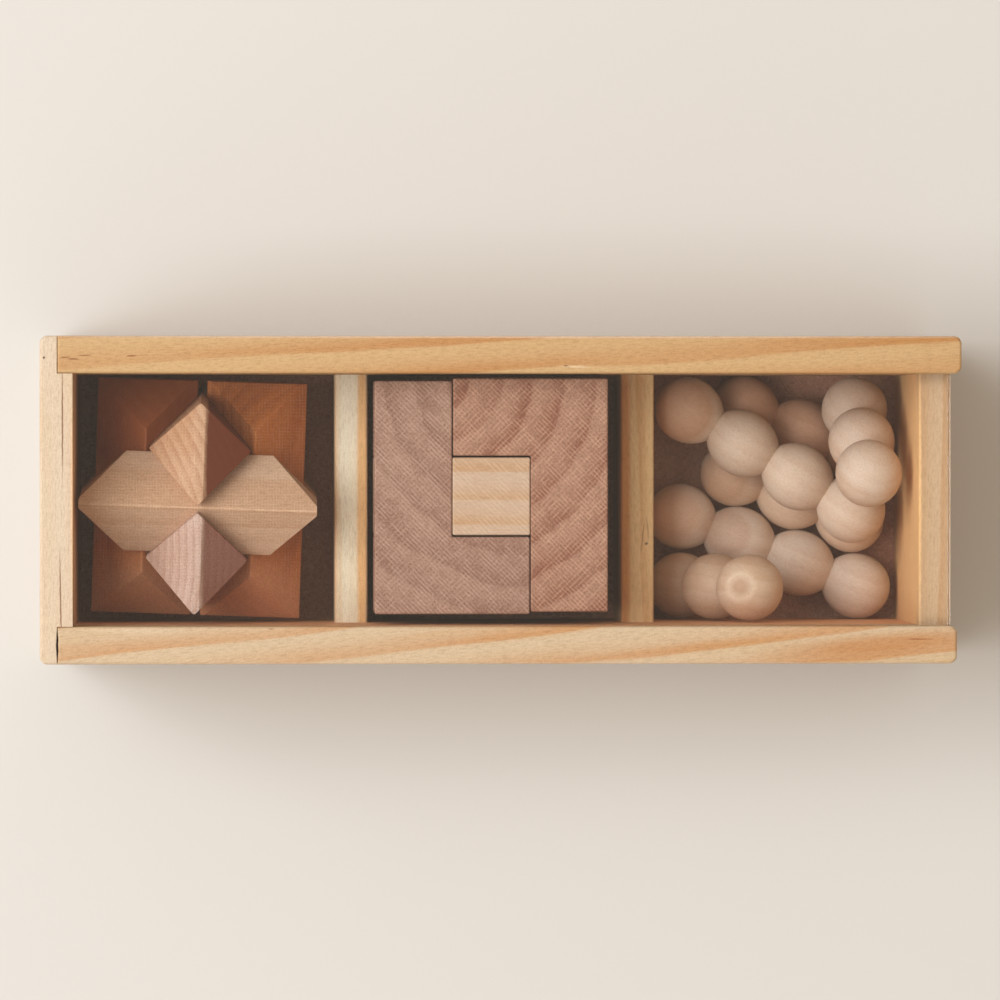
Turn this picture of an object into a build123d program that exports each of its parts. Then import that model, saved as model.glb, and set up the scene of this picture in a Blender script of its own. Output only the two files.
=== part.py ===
from build123d import *
from math import cos, radians, sin, sqrt
import os

os.makedirs("parts", exist_ok=True)

# A pine box with three compartments, a clear sliding lid and three wooden puzzles.
# Millimetres. X runs along the box towards the end where the lid slides out,
# Y runs towards the back side board and Z is up. The origin is the bottom centre.

# Star puzzle: six square sticks, notched across and pointed at both ends
stick_side = 14.9
stick_length = 49.0
stick_tip_width = 2.0
stick_edge_round = 0.4
star_spread = 0.8
notch_clearance = 0.1
star_lean = 5.0
star_turn = -2.0
star_shift_x = -1.4
star_shift_y = 0.2

# Cube puzzle: two L-shaped blocks round a plus-shaped core, three cells to a side
cube_side = 48.0
cube_gap = 0.1
cube_window_play = 0.5
cube_slip = 0.5
cube_edge_round = 0.4
cube_shift_x = -1.2
cube_shift_y = 0.4

# Ball pyramid puzzle: straight rows of balls, each row turned from one stick
ball_diameter = 13.8
ball_overlap = 0.3
neck_diameter = 7.0

# Room that the puzzles need, the loose balls counted in ball diameters
star_end_play = 4.64
star_side_play = 2.6
cube_end_play = 4.83
cube_side_play = 3.0
balls_long = 3.85
balls_wide = 3.73
balls_high = 3.6
head_room = 0.9
star_floor_gap = 0.05

# Boards of the box
side_board_thickness = 7.7
end_cover_thickness = 3.5
end_tongue_thickness = 3.2
right_end_thickness = 6.3
right_end_inset = 2.0
front_board_short = 0.9
divider_thickness = 6.85
divider_height = 30.0
board_corner_round = 1.6
board_edge_round = 0.6

# Floor panel and its grooves
floor_thickness = 3.0
floor_recess = 1.5
floor_groove_depth = 2.5
floor_groove_play = 0.1
floor_side_play = 0.2

# Lid and its grooves
lid_thickness = 3.0
lid_lip = 3.0
lid_groove_play = 0.2
lid_groove_depth = 2.8
lid_side_play = 0.3
lid_end_groove_depth = 2.5
lid_end_play = 0.2
lid_edge_break = 0.2
lid_pass_gap = 0.2

# Each room of the box follows the puzzle that lies in it
stick_half_diagonal = stick_side / sqrt(2)
stick_half_length = stick_length / 2
star_half_width = 2 * stick_half_diagonal + star_spread
star_half_height = (
    stick_half_length * cos(radians(star_lean)) + star_half_width * sin(radians(star_lean))
)
cell = cube_side / 3
ball_pitch = ball_diameter - ball_overlap

star_room_length = stick_length + star_end_play
cube_room_length = cube_side + cube_end_play
ball_room_length = balls_long * ball_diameter
inner_width = max(
    stick_length + star_side_play, cube_side + cube_side_play, balls_wide * ball_diameter
)
inner_height = max(2 * star_half_height, cube_side, balls_high * ball_diameter) + head_room

left_end_thickness = end_cover_thickness + end_tongue_thickness
box_length = (
    left_end_thickness
    + star_room_length
    + divider_thickness
    + cube_room_length
    + divider_thickness
    + ball_room_length
    + right_end_thickness
    + right_end_inset
)
box_width = inner_width + 2 * side_board_thickness
floor_top = floor_recess + floor_thickness
lid_seat = floor_top + inner_height
wall_height = lid_seat + lid_thickness + lid_lip

left_outer = -box_length / 2
left_inner = left_outer + left_end_thickness
left_divider_face = left_inner + star_room_length
cube_room_start = left_divider_face + divider_thickness
right_divider_face = cube_room_start + cube_room_length
ball_room_start = right_divider_face + divider_thickness
right_inner = ball_room_start + ball_room_length
right_outer = right_inner + right_end_thickness


def save(piece, name):
    piece.part.label = name
    export_step(piece.part, f"parts/{name}.step")


# Side boards: long pine boards with a groove for the lid and a groove for the floor

def side_board(name, side, right_end):
    """side is 1 for the back board and -1 for the front one."""
    inner_face = side * inner_width / 2
    left_end = left_outer + end_cover_thickness
    groove_height = lid_thickness + lid_groove_play
    floor_groove_height = floor_thickness + floor_groove_play
    with BuildPart() as board:
        with BuildSketch(Plane.XY):
            with Locations(((left_end + right_end) / 2, inner_face + side * side_board_thickness / 2)):
                Rectangle(right_end - left_end, side_board_thickness)
            fillet(vertices().group_by(Axis.X)[-1], board_corner_round)
        extrude(amount=wall_height)
        fillet(faces().sort_by(Axis.Z)[-1].edges(), board_edge_round)
        with BuildSketch(Plane.YZ.offset(left_end)):
            with Locations((inner_face, lid_seat + groove_height / 2)):
                Rectangle(2 * lid_groove_depth, groove_height)
            with Locations((inner_face, floor_recess + floor_groove_height / 2)):
                Rectangle(2 * floor_groove_depth, floor_groove_height)
        extrude(amount=right_end - left_end, mode=Mode.SUBTRACT)
    save(board, name)


side_board("back_side_board", 1, box_length / 2)
side_board("front_side_board", -1, box_length / 2 - front_board_short)


# Left end board: it covers the side boards' ends, steps in between them and is grooved for the lid

def left_end_board():
    groove_height = lid_thickness + lid_groove_play
    floor_groove_height = floor_thickness + floor_groove_play
    with BuildPart() as board:
        with BuildSketch(Plane.XY):
            with Locations((left_outer + end_cover_thickness / 2, 0)):
                Rectangle(end_cover_thickness, box_width)
            fillet(vertices().group_by(Axis.X)[0], board_corner_round)
            with Locations(((left_outer + left_inner) / 2, 0)):
                Rectangle(left_end_thickness, inner_width)
        extrude(amount=wall_height)
        fillet(faces().sort_by(Axis.Z)[-1].edges().group_by(Axis.X)[0], board_edge_round)
        with BuildSketch(Plane.XZ.offset(-inner_width / 2)):
            with Locations((left_inner, lid_seat + groove_height / 2)):
                Rectangle(2 * lid_end_groove_depth, groove_height)
            with Locations((left_inner, floor_recess + floor_groove_height / 2)):
                Rectangle(2 * floor_groove_depth, floor_groove_height)
        extrude(amount=inner_width, mode=Mode.SUBTRACT)
    save(board, "left_end_board")


left_end_board()


# Right end board: it stands between the side boards, low enough for the lid to pass over it

def right_end_board():
    floor_groove_height = floor_thickness + floor_groove_play
    with BuildPart() as board:
        with BuildSketch(Plane.XY):
            with Locations(((right_inner + right_outer) / 2, 0)):
                Rectangle(right_end_thickness, inner_width)
        extrude(amount=lid_seat - lid_pass_gap)
        fillet(faces().sort_by(Axis.Z)[-1].edges().filter_by(Axis.Y), board_edge_round)
        with BuildSketch(Plane.XZ.offset(-inner_width / 2)):
            with Locations((right_inner, floor_recess + floor_groove_height / 2)):
                Rectangle(2 * floor_groove_depth, floor_groove_height)
        extrude(amount=inner_width, mode=Mode.SUBTRACT)
    save(board, "right_end_board")


right_end_board()


# Dividers: low boards that stand on the floor between the side boards

def divider(name, left_face):
    with BuildPart() as board:
        with BuildSketch(Plane.XY.offset(floor_top)):
            with Locations((left_face + divider_thickness / 2, 0)):
                Rectangle(divider_thickness, inner_width)
        extrude(amount=divider_height)
        fillet(faces().sort_by(Axis.Z)[-1].edges().filter_by(Axis.Y), board_edge_round)
    save(board, name)


divider("left_divider", left_divider_face)
divider("right_divider", right_divider_face)


# Floor panel: a thin board held in the grooves of all four walls

def floor_panel():
    tongue = floor_groove_depth - floor_side_play
    with BuildPart() as panel:
        with BuildSketch(Plane.XY.offset(floor_recess)):
            with Locations(((left_inner + right_inner) / 2, 0)):
                Rectangle(right_inner - left_inner + 2 * tongue, inner_width + 2 * tongue)
        extrude(amount=floor_thickness)
    save(panel, "floor_panel")


floor_panel()


# Sliding lid: a clear plate that runs in the side boards' grooves and stops in the left end board's

def sliding_lid():
    tongue = lid_groove_depth - lid_side_play
    lid_left = left_inner - lid_end_groove_depth + lid_end_play
    with BuildPart() as plate:
        with BuildSketch(Plane.XY.offset(lid_seat)):
            with Locations(((lid_left + right_outer) / 2, 0)):
                Rectangle(right_outer - lid_left, inner_width + 2 * tongue)
        extrude(amount=lid_thickness)
        chamfer(edges(), lid_edge_break)
    save(plate, "sliding_lid")


sliding_lid()


# Star puzzle: each stick lies on edge along one direction of the star, pushed outward from its
# middle, and has two notches that take the sticks crossing it on its inner side

star_middle = Vector(
    (left_inner + left_divider_face) / 2 + star_shift_x,
    star_shift_y,
    floor_top + star_floor_gap + star_half_height,
)


def star_direction(direction):
    """Turns a direction of the star into one of the box, where the star leans to the front."""
    return Vector(direction).rotate(Axis.X, star_lean).rotate(Axis.Z, star_turn)


def star_stick(name, along, outward):
    stick_plane = Plane(
        star_middle, x_dir=star_direction(along), z_dir=star_direction(outward)
    )
    section_plane = Plane(star_middle, x_dir=stick_plane.y_dir, z_dir=stick_plane.x_dir)
    notch_plane = Plane(star_middle, x_dir=stick_plane.x_dir, z_dir=-stick_plane.y_dir)
    stick_offset = stick_half_diagonal + star_spread
    notch_reach = stick_half_diagonal + notch_clearance * sqrt(2)
    half_tip = stick_tip_width / 2
    shoulder = 1.1 * stick_half_diagonal
    shoulder_at = stick_half_length + half_tip - shoulder
    with BuildPart() as stick:
        with BuildSketch(section_plane):
            with Locations((0, stick_offset)):
                RectangleRounded(stick_side, stick_side, stick_edge_round, rotation=45)
        extrude(amount=stick_half_length, both=True)
        with BuildSketch(stick_plane):
            with BuildLine():
                Polyline(
                    (stick_half_length, -half_tip),
                    (stick_half_length, half_tip),
                    (shoulder_at, shoulder),
                    (-shoulder_at, shoulder),
                    (-stick_half_length, half_tip),
                    (-stick_half_length, -half_tip),
                    (-shoulder_at, -shoulder),
                    (shoulder_at, -shoulder),
                    close=True,
                )
            make_face()
            fillet(vertices().group_by(Axis.X)[0], stick_edge_round)
            fillet(vertices().group_by(Axis.X)[-1], stick_edge_round)
        extrude(amount=2 * stick_offset, mode=Mode.INTERSECT)
        with BuildSketch(notch_plane):
            for end in (-1, 1):
                with BuildLine():
                    Polyline(
                        (end * (stick_offset - notch_reach), 0),
                        (end * stick_offset, notch_reach),
                        (end * (stick_offset + notch_reach), 0),
                        close=True,
                    )
                make_face()
        extrude(amount=stick_side, both=True, mode=Mode.SUBTRACT)
    save(stick, name)


star_stick("star_stick_top", (1, 0, 0), (0, 0, 1))
star_stick("star_stick_bottom", (1, 0, 0), (0, 0, -1))
star_stick("star_stick_back_upright", (0, 0, 1), (0, 1, 0))
star_stick("star_stick_front_upright", (0, 0, 1), (0, -1, 0))
star_stick("star_stick_left_cross", (0, 1, 0), (-1, 0, 0))
star_stick("star_stick_right_cross", (0, 1, 0), (1, 0, 0))


# Cube puzzle: each block is a side column with one more column beside the core, and an arm of
# the core shows through a window in the side column

cube_x = (cube_room_start + right_divider_face) / 2 + cube_shift_x
core_y = cube_shift_y + cube_slip / 2
cube_middle_height = floor_top + cube_side / 2


def cube_block(name, side, block_y):
    """side is -1 for the left block and 1 for the right one, which is the same turned half round."""
    outer = side * cube_side / 2
    core_face = side * (cell / 2 + cube_gap)
    column_end = -side * (cell / 2 - cube_gap)
    with BuildPart() as block:
        with BuildSketch(Plane((cube_x, block_y, floor_top))):
            with BuildLine():
                Polyline(
                    (outer, -outer),
                    (outer, outer),
                    (column_end, outer),
                    (column_end, core_face),
                    (core_face, core_face),
                    (core_face, -outer),
                    close=True,
                )
            make_face()
        extrude(amount=cube_side)
        fillet(edges(), cube_edge_round)
        with BuildSketch(Plane.YZ.offset(cube_x)):
            with Locations((block_y, cube_middle_height)):
                Rectangle(cell + 2 * cube_window_play, cell + 2 * cube_window_play)
        extrude(amount=outer, mode=Mode.SUBTRACT)
    save(block, name)


cube_block("cube_left_block", -1, cube_shift_y)
cube_block("cube_right_block", 1, cube_shift_y + cube_slip)


def cube_cross_core():
    core_thickness = cell
    with BuildPart() as core:
        with BuildSketch(Plane.XZ.offset(-core_y - core_thickness / 2)):
            with Locations((cube_x, cube_middle_height)):
                Rectangle(cell, cube_side)
                Rectangle(cube_side, cell)
        extrude(amount=core_thickness)
        fillet(edges(), cube_edge_round)
    save(core, "cube_cross_core")


cube_cross_core()


# Ball pyramid puzzle: two rows of four and four rows of three, dropped in loosely

def ball_row(name, count, middle, heading, climb):
    """middle is counted in ball diameters from the middle of the compartment's floor. The row
    runs along +X turned by heading, and climbs towards that end."""
    row_middle = Vector(
        (ball_room_start + right_inner) / 2 + middle[0] * ball_diameter,
        middle[1] * ball_diameter,
        floor_top + middle[2] * ball_diameter,
    )
    along = Vector(1, 0, 0).rotate(Axis.Y, -climb).rotate(Axis.Z, heading)
    sideways = Vector(0, 1, 0).rotate(Axis.Z, heading)
    radius = ball_diameter / 2
    first_ball = -(count - 1) / 2 * ball_pitch
    row_end = radius - first_ball
    with BuildPart() as row:
        with BuildSketch(Plane(row_middle, x_dir=along, z_dir=along.cross(sideways))):
            with BuildLine():
                for number in range(count):
                    ball = first_ball + number * ball_pitch
                    for side in (-1, 1):
                        free_end = number == (0 if side < 0 else count - 1)
                        if free_end:
                            edge_of_ball = (ball + side * radius, 0)
                        else:
                            edge_of_ball = (ball + side * ball_pitch / 2, neck_diameter / 2)
                        TangentArc((ball, radius), edge_of_ball, tangent=(side, 0))
                Line((-row_end, 0), (row_end, 0))
            make_face()
        revolve(axis=Axis(row_middle, along))
    save(row, name)


ball_row("ball_row_lower_four", 4, (-0.057, -0.826, 0.51), -21.6, 0)
ball_row("ball_row_middle_three", 3, (0.301, 0.013, 0.51), -21.6, 0)
ball_row("ball_row_back_three", 3, (0.458, 1.007, 0.51), -21.6, 0)
ball_row("ball_row_upper_four", 4, (-0.106, 0.578, 1.434), -31.5, 4)
ball_row("ball_row_leaning_back", 3, (1.23, 0.862, 2.1), -86, 60.3)
ball_row("ball_row_leaning_front", 3, (-0.947, -1.346, 1.43), -0.2, 61)
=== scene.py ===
import bpy
from collections import namedtuple
from math import pi, radians
from mathutils import Matrix, Vector


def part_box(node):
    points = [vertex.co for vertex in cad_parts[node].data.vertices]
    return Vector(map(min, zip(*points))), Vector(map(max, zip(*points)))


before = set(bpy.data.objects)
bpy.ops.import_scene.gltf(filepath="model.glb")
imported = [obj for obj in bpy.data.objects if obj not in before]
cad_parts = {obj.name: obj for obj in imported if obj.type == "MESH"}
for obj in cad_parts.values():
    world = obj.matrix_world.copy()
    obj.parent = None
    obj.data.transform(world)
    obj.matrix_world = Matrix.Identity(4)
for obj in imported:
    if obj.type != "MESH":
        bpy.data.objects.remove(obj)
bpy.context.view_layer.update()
bpy.ops.object.select_all(action="DESELECT")


# Floor panel: a thin brown hardboard held in the grooves of all four walls.
# It is pressed from steamed wood fibres, so it has no grain, only short matted fibres
# and a slight gloss on its smooth face.

MM = 0.001  # the scene is in metres

# A mix node set for colours takes them at inputs 6 and 7 and gives its result at output 2
MIX_COLOURS = {"output": 2, "data_type": "RGBA"}
MULTIPLY_COLOURS = {**MIX_COLOURS, "blend_type": "MULTIPLY"}


def linear(hex_colour):
    """The colour that a shader needs for an sRGB hex value, by the curve of sRGB."""
    shown = [int(hex_colour[place:place + 2], 16) / 255 for place in (0, 2, 4)]
    return [c / 12.92 if c <= 0.04045 else ((c + 0.055) / 1.055) ** 2.4 for c in shown] + [1.0]


def add_node(tree, kind, inputs=None, output=0, stops=(), **settings):
    """Adds a node with its settings, ramp stops and links or values, and gives an output."""
    node = tree.nodes.new(f"ShaderNode{kind}")
    for setting, value in settings.items():
        setattr(node, setting, value)
    for number, (position, colour) in enumerate(stops):
        elements = node.color_ramp.elements
        stop = elements[number] if number < len(elements) else elements.new(position)
        stop.position = position
        if isinstance(colour, str):
            stop.color = linear(colour)
        elif isinstance(colour, tuple):
            stop.color = [*colour, 1.0]
        else:
            stop.color = [colour] * 3 + [1.0]
    for place, value in (inputs or {}).items():
        if isinstance(value, bpy.types.NodeSocket):
            tree.links.new(value, node.inputs[place])
        else:
            node.inputs[place].default_value = value
    return node.outputs[output] if len(node.outputs) else None


def new_material(name):
    """A material with an empty node tree."""
    material = bpy.data.materials.new(name)
    material.use_nodes = True
    material.node_tree.nodes.clear()
    return material, material.node_tree


def dress(part_name, material):
    """Gives a solid of the model its finish."""
    for material_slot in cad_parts[part_name].material_slots:
        material_slot.material = material


def hardboard():
    """Tempered hardboard: matted brown fibres with paler flecks and a low gloss."""
    material, tree = new_material("brown_hardboard")
    place = add_node(tree, "TexCoord", output="Object")
    millimetres = add_node(tree, "Mapping", {"Vector": place, "Scale": (1 / MM, 1 / MM, 1 / MM)})
    # Its fibres are nearer 0.1 mm, drawn 0.6 mm wide so that they show
    fibres = add_node(tree, "TexNoise", {
        "Vector": millimetres, "Scale": 1.6, "Detail": 5, "Roughness": 0.75, "Distortion": 1.5,
    })
    clouds = add_node(tree, "TexNoise", {"Vector": millimetres, "Scale": 0.05, "Detail": 2})
    fibre_colour = add_node(
        tree, "ValToRGB", {"Fac": fibres},
        stops=((0.3, "93624c"), (0.5, "c38b6d"), (0.62, "d39b7e"), (0.72, "dbb7a3")),
    )
    cloud_shade = add_node(tree, "ValToRGB", {"Fac": clouds}, stops=((0.35, 0.8), (0.65, 1.0)))
    colour = add_node(tree, "Mix", {0: 1.0, 6: fibre_colour, 7: cloud_shade}, **MULTIPLY_COLOURS)
    bumps = add_node(tree, "Bump", {"Height": fibres, "Strength": 0.5, "Distance": 0.08 * MM})
    surface = add_node(tree, "BsdfPrincipled", {
        "Base Color": colour, "Normal": bumps, "Roughness": 0.5, "IOR": 1.5,
        "Specular IOR Level": 0.4,
    })
    add_node(tree, "OutputMaterial", {"Surface": surface})
    return material


dress("floor_panel", hardboard())


# End boards: the left one covers the side boards' ends, the right one stands between them.
# Both are planed pine with the grain along the board, pale early wood and soft orange
# late-wood lines.

WALL_TOP = 64  # mm over the ground
WAVE_SPACING = 0.1 * pi  # between the lines of a wave texture at scale 1

# A blemish, a patch, or painted light or shade: its middle and half size in mm, its turn in
# degrees, and the share of its size that has the full strength. A saw's trace: the
# direction across its lines, and their spacing in mm.
Mark = namedtuple("Mark", "middle half_size colour strength turn full", defaults=(0, 0.45))
Trace = namedtuple("Trace", "across spacing strength")


def brown_shade(depth):
    """A darkening that takes more blue than red, as the brown of fibres and pores does."""
    return 1 - 0.85 * depth, 1 - depth, 1 - 1.15 * depth


def turn_to(direction):
    """The turn that brings the X axis into this direction."""
    return Vector(direction).to_track_quat("X", "Z").to_euler()


def late_wood(tree, in_tree, clouds, ring_width, waver, late_share):
    """How much late wood each spot has: each ring darkens slowly and ends sharply."""
    ring_scale = WAVE_SPACING / ring_width
    rings = add_node(
        tree, "TexWave",
        {
            "Vector": in_tree, "Scale": ring_scale, "Distortion": waver, "Detail": 2,
            "Detail Scale": 0.16 / ring_scale, "Detail Roughness": 0.6,
        },
        output="Fac", wave_type="RINGS", rings_direction="X", wave_profile="SAW",
    )
    lateness = add_node(tree, "ValToRGB", {"Fac": rings}, stops=(
        (0.0, 0.12), (0.12, 0.0), (0.4, 0.15), (0.7, 0.7), (0.88, 1.0), (0.95, 0.85), (1.0, 0.12),
    ))
    strength = add_node(tree, "MapRange", {
        "Value": clouds, "From Min": 0.35, "From Max": 0.6,
        "To Min": 0.35 * late_share, "To Max": late_share,
    })
    return add_node(tree, "Math", {0: lateness, 1: strength}, operation="MULTIPLY")


def saw_lines(tree, place, trace):
    """The crests that a saw left, broken into patches."""
    across_lines = add_node(
        tree, "Mapping",
        {"Vector": place, "Rotation": turn_to(trace.across), "Scale": (MM, 2 * MM, MM)},
        vector_type="TEXTURE",
    )
    lines = add_node(
        tree, "TexWave",
        {
            "Vector": across_lines, "Scale": WAVE_SPACING / trace.spacing, "Distortion": 1.6,
            "Detail": 2, "Detail Scale": 0.9 * trace.spacing, "Detail Roughness": 0.6,
        },
        output="Fac", wave_type="BANDS", bands_direction="X", wave_profile="SIN",
    )
    crests = add_node(tree, "MapRange", {"Value": lines, "From Min": 0.62, "From Max": 1.0})
    clouds = add_node(tree, "TexNoise", {"Vector": across_lines, "Scale": 0.7, "Detail": 3})
    patches = add_node(tree, "MapRange", {
        "Value": clouds, "From Min": 0.4, "From Max": 0.6,
        "To Min": 0.1 * trace.strength, "To Max": trace.strength,
    })
    return add_node(tree, "Math", {0: crests, 1: patches}, operation="MULTIPLY")


def marked(tree, place, colour, fibre_shade, marks):
    """The colour with the marks on it, each with a slightly ragged outline."""
    ragged = add_node(tree, "TexNoise", {"Vector": place, "Scale": 700, "Detail": 2}, "Color")
    most = 0.12 * MM
    nudge = add_node(tree, "Mapping", {
        "Vector": ragged, "Location": (-most, -most, 0), "Scale": (2 * most, 2 * most, 0),
    })
    ragged_place = add_node(tree, "VectorMath", {0: place, 1: nudge}, operation="ADD")
    for mark in marks:
        in_mark = add_node(
            tree, "Mapping",
            {
                "Vector": ragged_place, "Location": Vector(mark.middle) * MM,
                "Rotation": (0, 0, radians(mark.turn)), "Scale": Vector(mark.half_size) * MM,
            },
            vector_type="TEXTURE",
        )
        from_middle = add_node(tree, "VectorMath", {0: in_mark}, "Value", operation="LENGTH")
        share = add_node(tree, "MapRange", {
            "Value": from_middle, "From Min": mark.full, "From Max": 1.0,
            "To Min": mark.strength, "To Max": 0.0,
        })
        mark_colour = add_node(
            tree, "Mix", {0: 1.0, 6: linear(mark.colour), 7: fibre_shade}, **MULTIPLY_COLOURS,
        )
        colour = add_node(tree, "Mix", {0: share, 6: colour, 7: mark_colour}, **MIX_COLOURS)
    return colour


def grown_wood(
    name, pith, grain, ring_width, early, late, shade, streak, waver=2.0, late_share=0.8,
    fibre_width=0.3, fibre_depth=0.22, pore_depth=0.1, streaks=0.12, streak_width=0.5,
    saw=(), saw_colour="ead2b4", marks=(), gloss=0.35, roughness=0.6,
):
    """Wood cut from a tree whose middle runs through pith in the direction grain.

    Places and widths are in mm. Shade is the colour of its darker clouds, streak that of
    single dark fibres, and the depths say how much fibres and pores darken it."""
    material, tree = new_material(name)
    place = add_node(tree, "TexCoord", output="Object")
    # In millimetres round the pith, with 12 mm along the grain counted as one
    in_tree = add_node(
        tree, "Mapping",
        {
            "Vector": place, "Location": Vector(pith) * MM, "Rotation": turn_to(grain),
            "Scale": (12 * MM, MM, MM),
        },
        vector_type="TEXTURE",
    )
    clouds = add_node(tree, "TexNoise", {"Vector": in_tree, "Scale": 0.09, "Detail": 3})
    lateness = late_wood(tree, in_tree, clouds, ring_width, waver, late_share)
    colour = add_node(
        tree, "Mix", {0: lateness, 6: linear(early), 7: linear(late)}, **MIX_COLOURS,
    )
    shading = add_node(tree, "MapRange", {
        "Value": clouds, "From Min": 0.45, "From Max": 0.65, "To Min": 0.0, "To Max": 0.6,
    })
    colour = add_node(tree, "Mix", {0: shading, 6: colour, 7: linear(shade)}, **MIX_COLOURS)

    # Single fibres are nearer 0.05 mm. They are drawn as bundles of fibre_width, six
    # times as long, so that they show.
    along_fibres = add_node(tree, "Mapping", {"Vector": in_tree, "Scale": (2, 1, 1)})
    fibres = add_node(tree, "TexNoise", {
        "Vector": along_fibres, "Scale": 1 / fibre_width, "Detail": 3, "Roughness": 0.65,
    })
    fibre_shade = add_node(tree, "ValToRGB", {"Fac": fibres}, stops=(
        (0.3, brown_shade(fibre_depth)), (0.5, brown_shade(0.25 * fibre_depth)), (0.68, 1.0),
    ))
    # Pores and sanding specks are nearer 0.1 mm, drawn 0.3 mm wide so that they show
    specks = add_node(tree, "TexNoise", {"Vector": place, "Scale": 3300, "Detail": 1})
    pore_shade = add_node(
        tree, "ValToRGB", {"Fac": specks}, stops=((0.32, brown_shade(pore_depth)), (0.6, 1.0)),
    )
    fibre_shade = add_node(
        tree, "Mix", {0: 1.0, 6: fibre_shade, 7: pore_shade}, **MULTIPLY_COLOURS,
    )
    colour = add_node(tree, "Mix", {0: 1.0, 6: colour, 7: fibre_shade}, **MULTIPLY_COLOURS)
    dashes = add_node(tree, "TexNoise", {
        "Vector": in_tree, "Scale": 1 / streak_width, "Detail": 2,
    })
    dashes = add_node(tree, "MapRange", {
        "Value": dashes, "From Min": 0.64, "From Max": 0.74, "To Min": 0.0, "To Max": streaks,
    })
    colour = add_node(tree, "Mix", {0: dashes, 6: colour, 7: linear(streak)}, **MIX_COLOURS)

    height = add_node(tree, "Math", {0: lateness, 1: fibres}, operation="ADD")
    for trace in saw:
        lines = saw_lines(tree, place, trace)
        colour = add_node(tree, "Mix", {0: lines, 6: colour, 7: linear(saw_colour)}, **MIX_COLOURS)
        height = add_node(tree, "Math", {0: height, 1: lines}, operation="ADD")
    if marks:
        colour = marked(tree, place, colour, fibre_shade, marks)
    bumps = add_node(tree, "Bump", {"Height": height, "Strength": 0.7, "Distance": 0.04 * MM})
    dullness = add_node(tree, "MapRange", {
        "Value": fibres, "From Min": 0.3, "From Max": 0.7,
        "To Min": roughness + 0.08, "To Max": roughness - 0.08,
    })
    surface = add_node(tree, "BsdfPrincipled", {
        "Base Color": colour, "Normal": bumps, "Roughness": dullness, "IOR": 1.5,
        "Specular IOR Level": gloss,
    })
    add_node(tree, "OutputMaterial", {"Surface": surface})
    return material


glue_crack = Mark((-90.6, -29.6, WALL_TOP), (0.3, 3.9, 3), "24160d", 0.95, full=0.5)
# Painted light: the inner faces are painted lighter and warmer than the tops, standing in for the
# light that reaches them inside the box
left_inner_face_painted_light = Mark((-87.3, 0, 10), (1.6, 60, 60), "f8c896", 0.9, full=0.8)
right_inner_face_painted_light = Mark((85.7, 0, 8), (1.6, 60, 62), "f9ca90", 0.9, full=0.8)
dress("left_end_board", grown_wood(
    "planed_pine_left_end", pith=(-130, 0, WALL_TOP), grain=(0.01, 1, 0), ring_width=9.0,
    early="d9ccba", late="c79e6e", shade="d5c0a2", streak="8f5530", late_share=0.5,
    marks=(
        left_inner_face_painted_light, glue_crack,
        # Two thin dark lines along its top, and a dot at its back corner
        Mark((-89.5, 16, WALL_TOP), (0.22, 14, 3), "7a4a2c", 0.75),
        Mark((-89.9, -20, WALL_TOP), (0.2, 12, 3), "7a4a2c", 0.75, turn=1),
        Mark((-93.25, 29.0, WALL_TOP), (0.3, 0.3, 2), "3a2417", 0.9),
    ),
))
dress("right_end_board", grown_wood(
    "planed_pine_right_end", pith=(130, 0, 58), grain=(0.02, 1, 0.01), ring_width=5.0,
    early="d6b99a", late="c28c54", shade="ceab84", streak="8f5530", late_share=0.7,
    marks=(right_inner_face_painted_light,),
))


# Side boards: two long planed pine boards, glued to the end boards, with a groove for
# the lid near the top and one for the floor below. The rings rise slowly along them.
# A few dark dashes and a pale fleck are single marks, and so are the paler arrises, a painted
# highlight on the rounded top edges, and the painted light on the front board's inner face.

# Painted highlight: a pale line along each outer top edge, where the rounded arris catches the
# light
back_arris_highlight = Mark((0, 33.4, WALL_TOP), (150, 0.45, 1.2), "dcc6b2", 0.8)
front_arris_highlight = Mark((0, -33.4, WALL_TOP), (150, 0.4, 1.2), "dcc6ae", 0.6)
# Painted light: the front board's inner face is painted lighter and warmer, standing in for the
# light that falls on it inside the box
front_inner_face_painted_light = Mark((0, -25.7, 16), (140, 0.7, 50), "f4bc8c", 0.9, full=0.8)
orange_patch = Mark((78, -29.5, WALL_TOP), (30, 3.0, 4), "bd8246", 0.65, turn=5, full=0.3)
pale_patch = Mark((-75, -26.6, WALL_TOP), (13, 0.8, 3), "d8c6ae", 0.5, turn=-1, full=0.3)
dress("back_side_board", grown_wood(
    "planed_pine_back_board", pith=(0, 56.4, WALL_TOP), grain=(1, 0.062, 0), ring_width=6.0,
    early="cbad82", late="b77e46", shade="c29e6c", streak="8a5230", late_share=1.0,
    marks=(
        back_arris_highlight,
        # Four dark dashes near its left end, then a pale fleck and the dash in it
        Mark((-88.9, 29.1, WALL_TOP), (1.5, 0.22, 3), "8a5230", 0.6, turn=2),
        Mark((-87.2, 28.7, WALL_TOP), (1.6, 0.25, 3), "7d4a2a", 0.6, turn=-2),
        Mark((-84.9, 29.5, WALL_TOP), (1.8, 0.2, 3), "8a5230", 0.6, turn=2),
        Mark((-75.5, 29.4, WALL_TOP), (1.2, 0.22, 3), "8a4c34", 0.65, turn=2),
        Mark((15, 27.2, WALL_TOP), (4.0, 0.35, 3), "dcc6a4", 0.7, turn=-2),
        Mark((13.1, 27.4, WALL_TOP), (0.7, 0.14, 3), "6a4026", 0.8),
    ),
))
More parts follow.
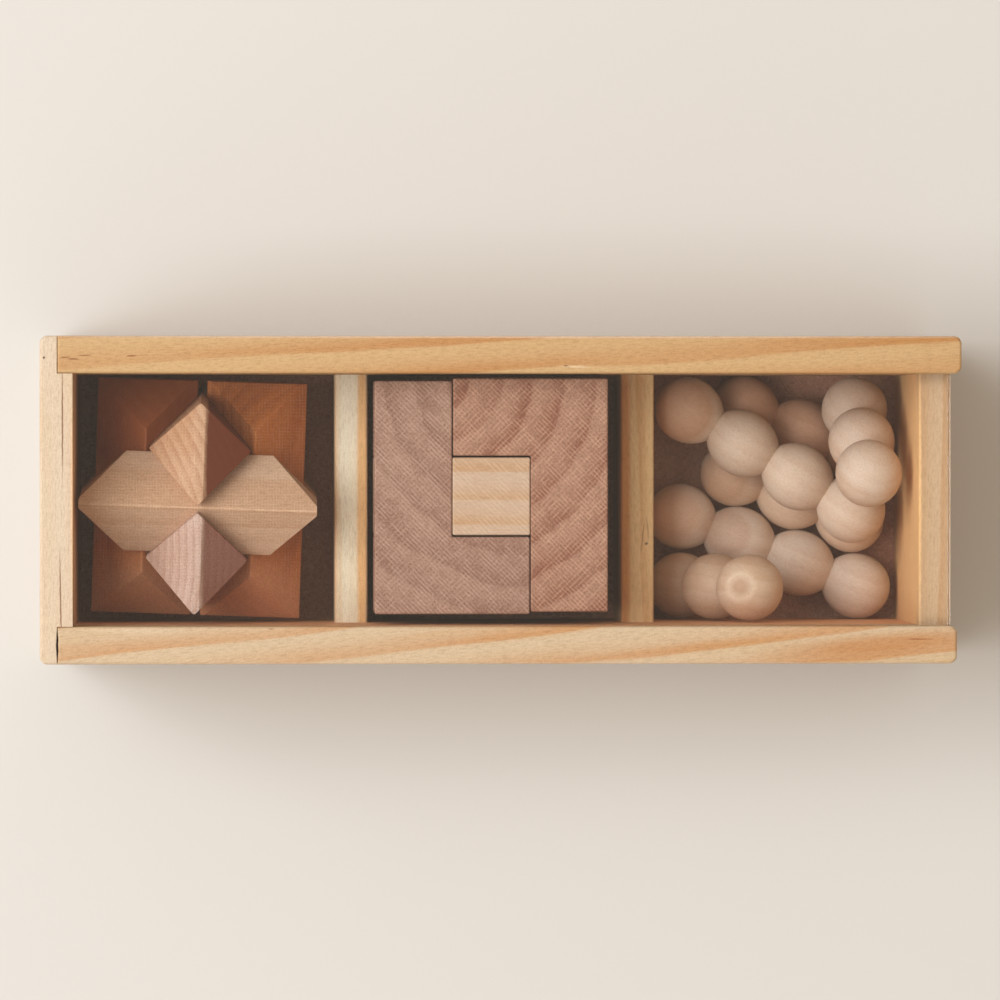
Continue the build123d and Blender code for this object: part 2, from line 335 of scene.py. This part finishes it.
dress("front_side_board", grown_wood(
    "planed_pine_front_board", pith=(0, -2.7, WALL_TOP), grain=(1, 0.12, 0), ring_width=6.5,
    early="cebb9f", late="c0864b", shade="c9ac80", streak="8a5230", late_share=1.0,
    marks=(
        front_arris_highlight, front_inner_face_painted_light, orange_patch, pale_patch, glue_crack,
        # Two dark dashes
        Mark((-47, -26.3, WALL_TOP), (0.8, 0.15, 3), "8a5a38", 0.6),
        Mark((85.5, -28.5, WALL_TOP), (3.0, 0.2, 3), "9a5f38", 0.6),
    ),
))


# Dividers: two low pine boards that stand on the floor between the side boards, with
# the grain across the box. The left one has a darker band along its right edge and painted
# shade along its left edge. The right one has the cube's shadow painted along its left
# part, and a small dark nick with two fine cracks beside it.

DIVIDER_TOP = 34.5  # mm over the ground

dress("left_divider", grown_wood(
    "planed_pine_left_divider", pith=(-62.5, 0, 34), grain=(-0.02, 1, 0), ring_width=6.0,
    early="f4ebd4", late="e2bd86", shade="eee0bd", streak="8f5530", late_share=0.6,
    marks=(
        # A darker band along the right edge, and painted shade along the left edge, where the
        # rounded arris lies in shade
        Mark((-28.1, 0, DIVIDER_TOP), (1.3, 60, 3), "e8b676", 0.85, full=0.5),
        Mark((-33.6, 0, DIVIDER_TOP), (0.4, 60, 3), "cf9a62", 0.6, full=0.4),
    ),
))
dress("right_divider", grown_wood(
    "planed_pine_right_divider", pith=(58.5, 0, 30), grain=(-0.03, 1, 0.02), ring_width=6.0,
    early="f7d6a2", late="d89d5a", shade="edc48c", streak="8f5530", waver=4.0,
    marks=(
        # The cube's painted shadow, the nick and the cracks
        Mark((26.6, 0, DIVIDER_TOP), (1.6, 60, 3), "dc984e", 0.85, full=0.4),
        Mark((31.2, -9.4, DIVIDER_TOP), (0.5, 0.35, 1), "4a2c1a", 0.8, turn=20),
        Mark((30.4, -8.2, DIVIDER_TOP), (0.15, 4.0, 1), "8a5632", 0.6, turn=-6),
        Mark((31.5, -6.5, DIVIDER_TOP), (0.15, 3.0, 1), "8a5632", 0.5, turn=5),
    ),
))


# Star puzzle: six square sticks of reddish hardwood, sawn to pyramids at both ends and
# notched to lock round each other. The grain follows each stick and the saw left a fine
# weave of marks. The uprights' right sides and the left cross's back end carry painted
# shade, and the crosses' front ends are greyer.

sawn_stick = {
    "streak": "7c4a2e", "late_share": 0.6, "streak_width": 0.35, "fibre_depth": 0.2,
    "pore_depth": 0.21, "roughness": 0.62, "saw_colour": "ecd0b0",
}
# Painted shade: the uprights' right sides, turned away from the lamp, are painted darker
back_upright_painted_shade = Mark((-52.9, 11, 30), (8, 40, 90), "873913", 0.92, turn=-2, full=0.93)
front_upright_painted_shade = Mark((-53.6, -10, 30), (8, 40, 90), "975442", 0.7, turn=-2, full=0.93)
# Painted shade: the left cross's back end, near the back board, is painted darker
back_end_painted_shade = Mark((-75, 20, 24), (17, 17, 60), "944c29", 0.75, full=0.75)
left_grey_end = Mark((-75, -24, 24), (16, 15, 60), "cf9c78", 0.8, full=0.6)
right_grey_end = Mark((-52, -24, 24), (16, 15, 60), "e0a27a", 0.8, full=0.6)
for stick, pith, grain, ring_width, early, late, shade, weave, marks in (
    ("top", (-62, 30, 90), (1, -0.02, 0), 5.0, "e4c4aa", "cda07c", "d9b192", 0.35, ()),
    ("bottom", (-62, 30, 0), (1, 0, 0), 4.0, "c8946a", "ae7449", "bd865c", 0.12, ()),
    (
        "back_upright", (-118, -16, 0), (0.02, 0, 1), 1.9, "d8b193", "ab6c48", "c89872", 0.15,
        (back_upright_painted_shade,),
    ),
    (
        "front_upright", (-112, -12, 0), (0, 0.02, 1), 1.5, "dabeb4", "ae8272", "c69f8c", 0.2,
        (front_upright_painted_shade,),
    ),
    (
        "left_cross", (-90, 0, 60), (0.02, 1, 0), 2.6, "da8845", "b36229", "cb793a", 0.18,
        (back_end_painted_shade, left_grey_end),
    ),
    (
        "right_cross", (-30, 0, 60), (-0.02, 1, 0), 2.6, "da8845", "b36229", "cb793a", 0.18,
        (right_grey_end,),
    ),
):
    dress(f"star_stick_{stick}", grown_wood(
        f"sawn_hardwood_{stick}", pith, grain, ring_width, early, late, shade, marks=marks,
        saw=(Trace((1, 0, 0), 0.6, weave), Trace((0, 1, 0), 0.65, 0.8 * weave)), **sawn_stick,
    ))


# Cube puzzle: two L-shaped blocks of hardwood round a plus-shaped core of pine. The
# blocks stand on end, so their tops show the rings and the slanted lines of the saw.

cube_wood = {
    "ring_width": 6.5, "fibre_width": 0.4, "fibre_depth": 0.35, "pore_depth": 0.34,
    "roughness": 0.65, "gloss": 0.25,
}
ON_END = (0, 0, 1)
FALLING, RISING = (1, 1, 0), (1, -1, 0)  # across lines that fall or rise to the right
dress("cube_left_block", grown_wood(
    "sawn_end_grain_left", pith=(8, 27, 0), grain=ON_END, early="ba9684", late="8c6252",
    shade="aa8272", streak="6f4c3f", late_share=0.7, saw_colour="dcbcaa",
    saw=(Trace(FALLING, 0.7, 0.45), Trace(RISING, 0.9, 0.22)), **cube_wood,
))
dress("cube_right_block", grown_wood(
    "sawn_end_grain_right", pith=(-12.45, 24.7, 0), grain=ON_END, early="bc927d", late="8a4a33",
    shade="b0806a", streak="75462f", late_share=1.0, waver=1.0, saw_colour="e2b89c",
    saw=(Trace(FALLING, 0.7, 0.45), Trace(RISING, 0.9, 0.34)), **cube_wood,
))
dress("cube_cross_core", grown_wood(
    "sawn_pine_core", pith=(0, 40, 64), grain=(1, 0, 0), ring_width=5.2, early="d2b6a0",
    late="c5935f", shade="caa684", streak="a0683a", waver=1.0, fibre_depth=0.15,
    saw_colour="e2cdb4", saw=(Trace(FALLING, 0.8, 0.35),),
))


# Ball pyramid puzzle: six rows of balls turned from beech sticks, each row of three or
# four balls left joined at the necks, sanded and bare, so they look soft and matt. The
# balls nearest the left divider carry painted shade, and one shows a pale ring round a
# darker spot at its end.

turned_beech = {
    "ring_width": 3.2, "streak": "8a5f42", "late_share": 0.35, "streaks": 0.15,
    "streak_width": 0.3, "fibre_width": 0.25, "fibre_depth": 0.14, "pore_depth": 0.09,
    "roughness": 0.62, "gloss": 0.3,
}
# Painted shade: the balls nearest the left divider and the cube are painted browner, where their
# shadow falls
first_upper_painted_shade = Mark((38.5, 18.5, 30), (8, 8, 25), "c69a7b", 0.8, full=0.8)
first_lower_painted_shade = Mark((37.5, -3.3, 30), (9.5, 9, 25), "e4bfa6", 0.8, full=0.7)
second_lower_painted_shade = Mark((48.8, -7.1, 30), (7, 7, 25), "dabaa4", 0.8, full=0.8)
first_middle_painted_shade = Mark((47.8, 3.5, 30), (7.5, 7.5, 25), "d2ad8f", 0.8, full=0.8)
lathe_ring = Mark((50.2, -18.2, 42.4), (3.9, 3.8, 4.4), "f0dcc6", 0.5, full=0.7)
# A darker spot inside the pale ring at the end of one row
dark_end_spot = Mark((50.2, -18.2, 42.4), (2.8, 2.7, 3.4), "ac7e5a", 0.6, full=0.4)
LEVEL = (0.93, -0.37, 0)
BESIDE_THE_PITH = Vector((4, 14, 9))  # mm
for row, grain, early, late, shade, marks in (
    ("upper_four", (0.86, -0.5, 0.07), "dec8b4", "c69e80", "d4b296", (first_upper_painted_shade,)),
    ("lower_four", LEVEL, "ecdaca", "d2aa8c", "e0c0a6", (first_lower_painted_shade, second_lower_painted_shade)),
    ("back_three", LEVEL, "dab094", "c0865c", "cf9a72", ()),
    ("middle_three", LEVEL, "e4cab2", "cc9f7c", "d8b092", (first_middle_painted_shade,)),
    ("leaning_back", (0.03, -0.47, 0.88), "dcc6b4", "c8a184", "d4b296", ()),
    ("leaning_front", (0.48, 0, 0.87), "dec4ac", "c39a76", "d2ac8e", (lathe_ring, dark_end_spot)),
):
    low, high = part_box(f"ball_row_{row}")
    pith = (low + high) / 2 / MM + BESIDE_THE_PITH
    dress(f"ball_row_{row}", grown_wood(
        f"turned_beech_{row}", pith, grain, early=early, late=late, shade=shade, marks=marks,
        **turned_beech,
    ))


# Sliding lid: a clear cast acrylic plate with finely sawn, matt edges. It slides in the
# side boards' grooves and passes over the right end board.

def clear_acrylic():
    """Cast acrylic: clear and glossy, with a very faint haze, and whitish where it was sawn."""
    material, tree = new_material("clear_cast_acrylic")
    plate = add_node(tree, "BsdfPrincipled", {
        "Base Color": linear("fbfdfd"), "Transmission Weight": 1.0, "Roughness": 0.03,
        "IOR": 1.49,
    })
    place = add_node(tree, "TexCoord", output="Object")
    # Saw scratches are nearer 0.05 mm, drawn 0.25 mm wide so that they show
    scratches = add_node(tree, "TexNoise", {"Vector": place, "Scale": 4000, "Detail": 2})
    edge_colour = add_node(
        tree, "ValToRGB", {"Fac": scratches}, stops=((0.35, "c9d2d0"), (0.65, "eef3f2")),
    )
    sawn_edge = add_node(tree, "BsdfPrincipled", {
        "Base Color": edge_colour, "Transmission Weight": 0.45, "Roughness": 0.45, "IOR": 1.49,
    })
    # The sawn edges are the faces that look sideways
    facing = add_node(tree, "TexCoord", output="Normal")
    facing_up = add_node(tree, "SeparateXYZ", {0: facing}, "Z")
    facing_up_or_down = add_node(tree, "Math", {0: facing_up}, operation="ABSOLUTE")
    on_edge = add_node(tree, "Math", {0: facing_up_or_down, 1: 0.6}, operation="LESS_THAN")
    sheet = add_node(tree, "MixShader", {0: on_edge, 1: plate, 2: sawn_edge})
    # Light falls through the plate on the pieces below as through open air
    open_air = add_node(tree, "BsdfTransparent", {"Color": linear("fafbfb")})
    shadow = add_node(tree, "LightPath", output="Is Shadow Ray")
    bounce = add_node(tree, "LightPath", output="Is Diffuse Ray")
    passing = add_node(tree, "Math", {0: shadow, 1: bounce}, operation="MAXIMUM")
    surface = add_node(tree, "MixShader", {0: passing, 1: sheet, 2: open_air})
    add_node(tree, "OutputMaterial", {"Surface": surface})
    return material


dress("sliding_lid", clear_acrylic())


# Studio: a plain pale floor, a large soft lamp high on the left, even daylight all
# round, and the camera almost straight above the box.

bpy.ops.mesh.primitive_plane_add(size=6, location=(0, 0, 0))
studio_floor = bpy.context.object
studio_floor.name = "studio_floor"
floor_paint = bpy.data.materials.new("pale_studio_floor")
floor_paint.use_nodes = True
paint = floor_paint.node_tree.nodes["Principled BSDF"].inputs
paint["Base Color"].default_value = linear("d2d1ce")
paint["Roughness"].default_value = 0.8
studio_floor.data.materials.append(floor_paint)

lamp_place = Vector((-1.1, 0.12, 1.52))
bpy.ops.object.light_add(type="AREA", location=lamp_place)
key_lamp = bpy.context.object
key_lamp.name = "key_lamp"
key_lamp.data.size = 1.4
key_lamp.data.energy = 35
key_lamp.data.color = linear("f8fbff")[:3]
key_lamp.rotation_euler = (-lamp_place).to_track_quat("-Z", "Y").to_euler()

sky = bpy.data.worlds.new("soft_daylight")
bpy.context.scene.world = sky
sky.use_nodes = True
daylight = sky.node_tree.nodes["Background"].inputs
daylight["Color"].default_value = linear("ffeedb")
daylight["Strength"].default_value = 0.66
bpy.context.scene.view_settings.view_transform = "Standard"
bpy.context.scene.view_settings.gamma = 0.9

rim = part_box("back_side_board")[1].z
camera_place = Vector((-0.04821, 0.0141, 1.425))
aim = Vector((-0.00035, 0, rim))
looking = (aim - camera_place).normalized()
right = looking.cross(Vector((0, 1, 0))).normalized()
up = right.cross(looking)
camera_turn = Matrix((right, up, -looking)).transposed().to_4x4()
camera_data = bpy.data.cameras.new("camera")
camera_data.angle = radians(8.57)
camera_data.clip_start, camera_data.clip_end = 0.05, 20
camera = bpy.data.objects.new("camera", camera_data)
bpy.context.scene.collection.objects.link(camera)
camera.matrix_world = Matrix.Translation(camera_place) @ camera_turn
bpy.context.scene.camera = camera
